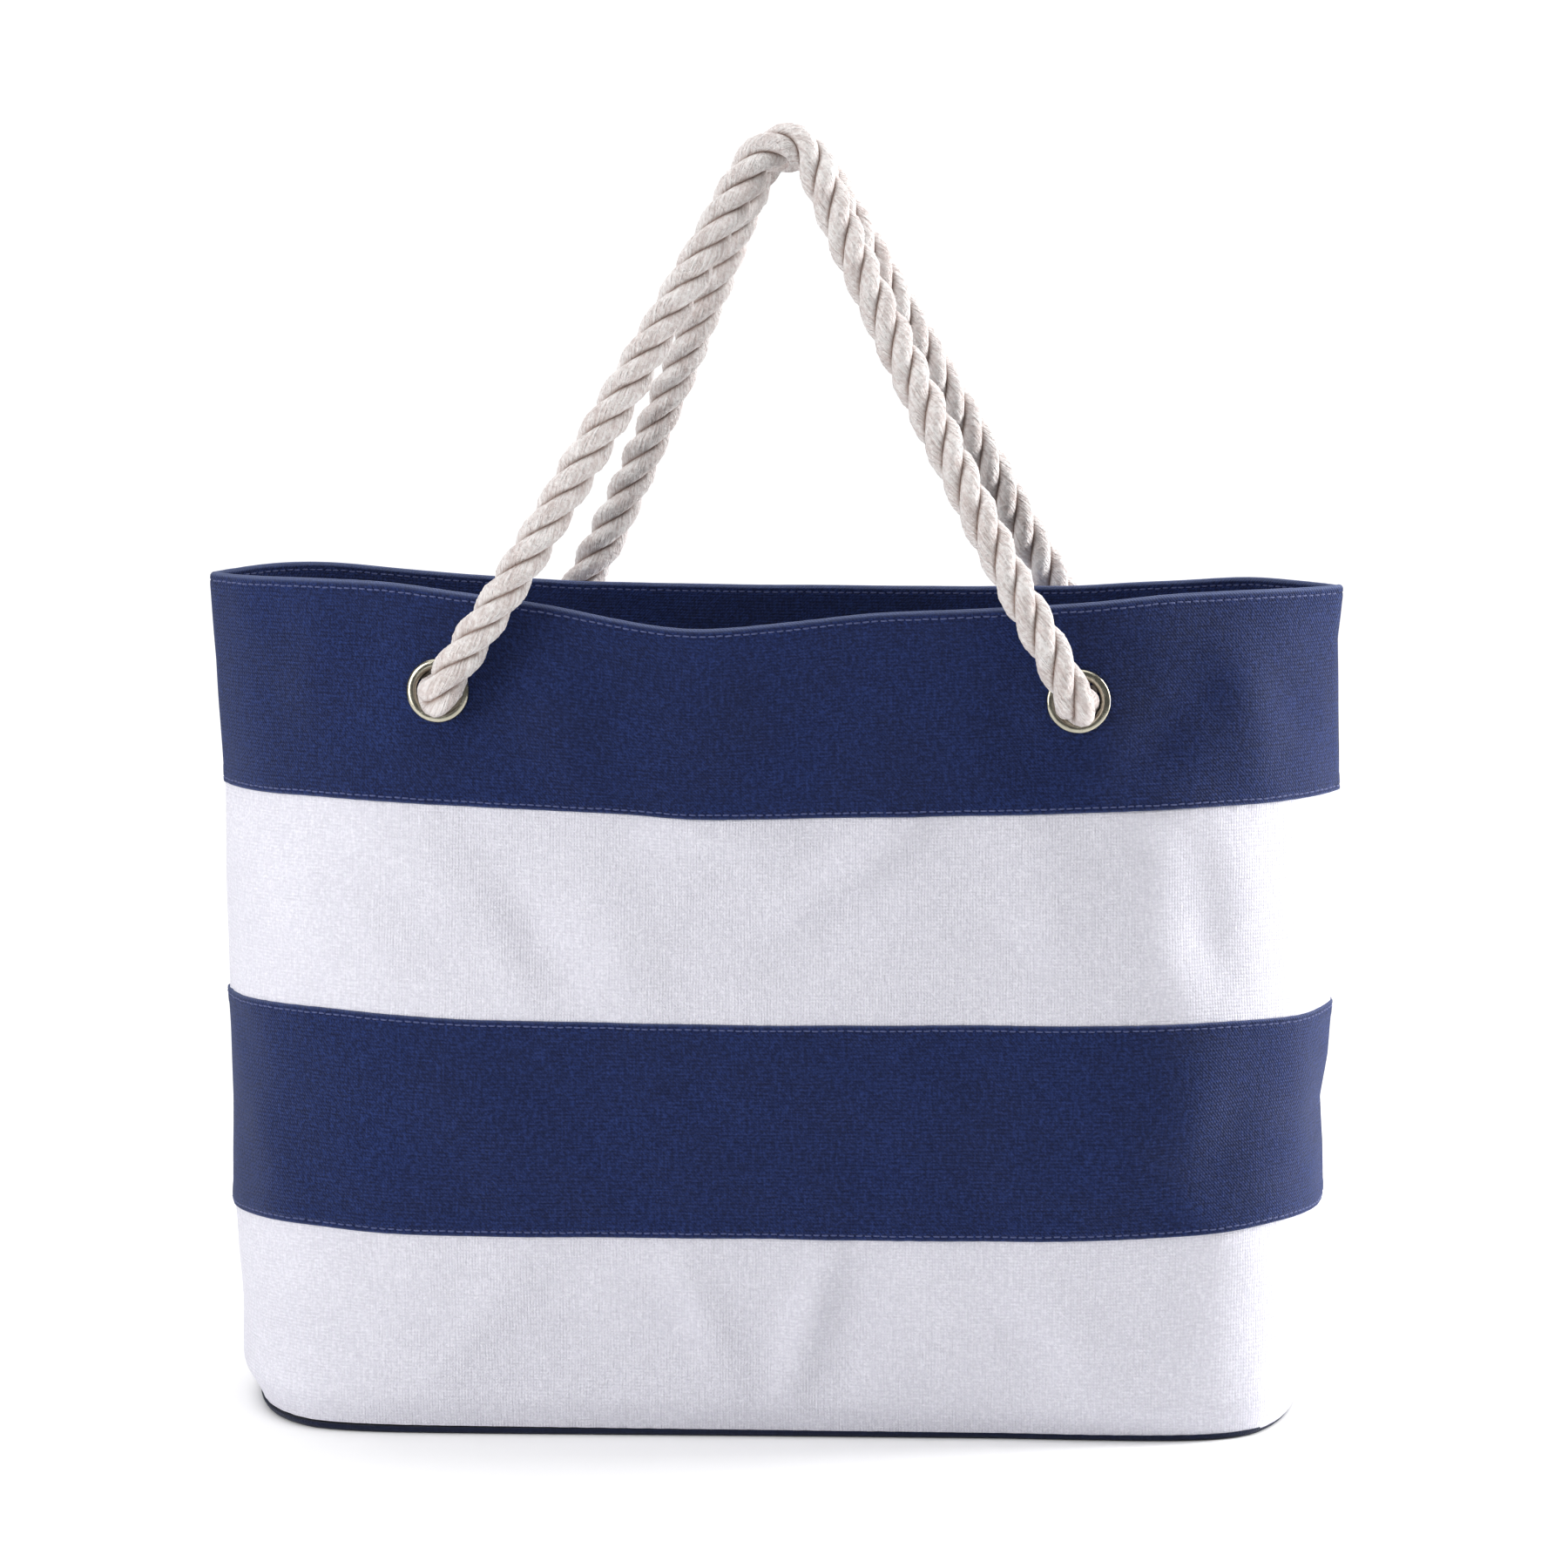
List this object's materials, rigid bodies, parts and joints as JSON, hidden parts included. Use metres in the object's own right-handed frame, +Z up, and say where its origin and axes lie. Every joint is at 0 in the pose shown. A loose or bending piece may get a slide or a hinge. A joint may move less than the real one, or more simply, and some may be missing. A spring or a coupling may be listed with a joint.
{
  "type": "beach bag",
  "caption": "Open-topped canvas beach bag with wide horizontal stripes, metal eyelets and two knotted twisted-rope handles that swing down.",
  "frame": {"origin": "on the floor under the middle of the base", "axes": "+Z up, +X along the long side towards the right seen from the front, -Y towards the front"},
  "size_m": [0.5, 0.1786, 0.5702],
  "materials": {
    "navy_canvas": "navy woven cotton canvas, matt with a slight sheen",
    "white_canvas": "bleached woven cotton canvas, matt",
    "lining_cloth": "plain thin woven lining, matt",
    "base_canvas": "very dark navy canvas, matt",
    "stiffener_board": "stiff sheet, hidden in the bottom",
    "grommet_metal": "pale polished plate with a warm tint",
    "cotton_rope": "natural three-strand cotton rope",
    "whipping_thread": "tight wound thread, waxed"
  },
  "bodies": {
    "bag": {"lower_white_band_front": "white_canvas", "lower_navy_band_front": "navy_canvas", "upper_white_band_front": "white_canvas", "upper_navy_band_front": "navy_canvas", "facing_front": "navy_canvas", "lining_front": "lining_cloth", "lower_white_band_back": "white_canvas", "lower_navy_band_back": "navy_canvas", "upper_white_band_back": "white_canvas", "upper_navy_band_back": "navy_canvas", "facing_back": "navy_canvas", "lining_back": "lining_cloth", "lining_floor": "lining_cloth", "base_panel": "base_canvas", "base_board": "stiffener_board", "grommet_front_left": "grommet_metal", "grommet_washer_front_left": "grommet_metal", "rope_knot_front_left": "cotton_rope", "grommet_front_right": "grommet_metal", "grommet_washer_front_right": "grommet_metal", "rope_knot_front_right": "cotton_rope", "grommet_back_left": "grommet_metal", "grommet_washer_back_left": "grommet_metal", "rope_knot_back_left": "cotton_rope", "grommet_back_right": "grommet_metal", "grommet_washer_back_right": "grommet_metal", "rope_knot_back_right": "cotton_rope", "rope_whippings": "whipping_thread"},
    "front_handle": {"front_handle_rope": "cotton_rope"},
    "back_handle": {"back_handle_rope": "cotton_rope"}
  },
  "joints": [
    {"name": "front_handle_swing", "type": "hinge", "parent": "bag", "child": "front_handle", "pos_m": [0, -0.0785, 0.324], "axis": [1, 0, 0], "range_deg": [0, 160]},
    {"name": "back_handle_swing", "type": "hinge", "parent": "bag", "child": "back_handle", "pos_m": [0, 0.0815, 0.324], "axis": [-1, 0, 0], "range_deg": [0, 160]}
  ]
}
